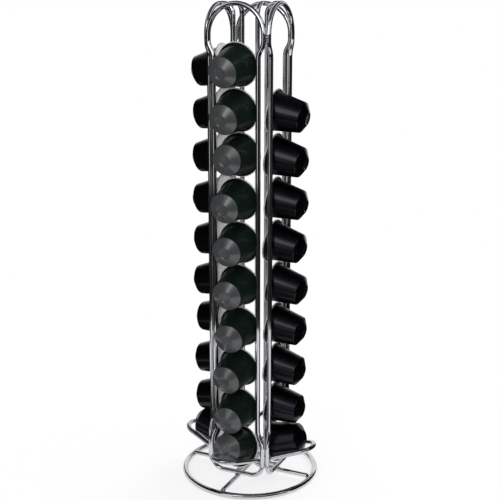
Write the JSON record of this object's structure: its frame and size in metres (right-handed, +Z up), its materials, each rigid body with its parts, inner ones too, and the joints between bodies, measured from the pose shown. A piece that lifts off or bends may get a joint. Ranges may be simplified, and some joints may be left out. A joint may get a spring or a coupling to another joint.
{
  "type": "coffee capsule dispenser",
  "caption": "Free-standing chromed wire tower that holds columns of coffee capsules by their flanges and hands out the lowest from a sloping wire shelf.",
  "frame": {"origin": "middle of the base ring, on the surface that the ring rests on", "axes": "+Z up along the tower; -Y out of side a, the front; -X out of side b; +X out of side c; +Y out of side d, the empty back"},
  "size_m": [0.1238, 0.1238, 0.4076],
  "materials": {
    "chromed_wire": "bright chrome plate on round steel wire",
    "green_black_capsule": "satin lacquered aluminium, dark green-black, with a pale lid",
    "violet_black_capsule": "satin lacquered aluminium, violet-black, with a pale lid"
  },
  "bodies": {
    "tower": {"front_frame_a": "chromed_wire", "rear_guide_a": "chromed_wire", "shelf_a": "chromed_wire", "front_frame_b": "chromed_wire", "rear_guide_b": "chromed_wire", "shelf_b": "chromed_wire", "front_frame_c": "chromed_wire", "rear_guide_c": "chromed_wire", "shelf_c": "chromed_wire", "front_frame_d": "chromed_wire", "rear_guide_d": "chromed_wire", "shelf_d": "chromed_wire", "base_ring": "chromed_wire", "spoke_ad": "chromed_wire", "spoke_bc": "chromed_wire"},
    "lowest_a": {"capsule_a10": "green_black_capsule"},
    "stack_a": {"capsule_a02": "green_black_capsule", "capsule_a03": "green_black_capsule", "capsule_a04": "green_black_capsule", "capsule_a05": "green_black_capsule", "capsule_a06": "green_black_capsule", "capsule_a07": "green_black_capsule", "capsule_a08": "green_black_capsule", "capsule_a09": "green_black_capsule"},
    "top_a": {"capsule_a01": "green_black_capsule"},
    "lowest_b": {"capsule_b10": "violet_black_capsule"},
    "stack_b": {"capsule_b02": "violet_black_capsule", "capsule_b03": "violet_black_capsule", "capsule_b04": "violet_black_capsule", "capsule_b05": "violet_black_capsule", "capsule_b06": "violet_black_capsule", "capsule_b07": "violet_black_capsule", "capsule_b08": "violet_black_capsule", "capsule_b09": "violet_black_capsule"},
    "top_b": {"capsule_b01": "violet_black_capsule"},
    "lowest_c": {"capsule_c10": "violet_black_capsule"},
    "stack_c": {"capsule_c03": "violet_black_capsule", "capsule_c04": "violet_black_capsule", "capsule_c05": "violet_black_capsule", "capsule_c06": "violet_black_capsule", "capsule_c07": "violet_black_capsule", "capsule_c08": "violet_black_capsule", "capsule_c09": "violet_black_capsule"},
    "top_c": {"capsule_c02": "violet_black_capsule"}
  },
  "joints": [
    {"name": "draw_a", "type": "slide", "parent": "tower", "child": "lowest_a", "axis": [0, -0.6691, 0.7431], "range_m": [0, 0.018]},
    {"name": "lift_a", "type": "slide", "parent": "tower", "child": "stack_a", "axis": [0, 0, 1], "range_m": [0, 0.0134]},
    {"name": "load_a", "type": "slide", "parent": "stack_a", "child": "top_a", "axis": [0, 0, 1], "range_m": [0, 0.0118]},
    {"name": "draw_b", "type": "slide", "parent": "tower", "child": "lowest_b", "axis": [-0.6691, 0, 0.7431], "range_m": [0, 0.018]},
    {"name": "lift_b", "type": "slide", "parent": "tower", "child": "stack_b", "axis": [0, 0, 1], "range_m": [0, 0.0134]},
    {"name": "load_b", "type": "slide", "parent": "stack_b", "child": "top_b", "axis": [0, 0, 1], "range_m": [0, 0.0118]},
    {"name": "draw_c", "type": "slide", "parent": "tower", "child": "lowest_c", "axis": [0.6691, 0, 0.7431], "range_m": [0, 0.018]},
    {"name": "lift_c", "type": "slide", "parent": "tower", "child": "stack_c", "axis": [0, 0, 1], "range_m": [0, 0.0134]},
    {"name": "load_c", "type": "slide", "parent": "stack_c", "child": "top_c", "axis": [0, 0, 1], "range_m": [0, 0.048]}
  ],
  "couplings": [
    {"joint": "lift_a", "follows": "draw_a", "ratio": 0.74314},
    {"joint": "lift_b", "follows": "draw_b", "ratio": 0.74314},
    {"joint": "lift_c", "follows": "draw_c", "ratio": 0.74314}
  ]
}
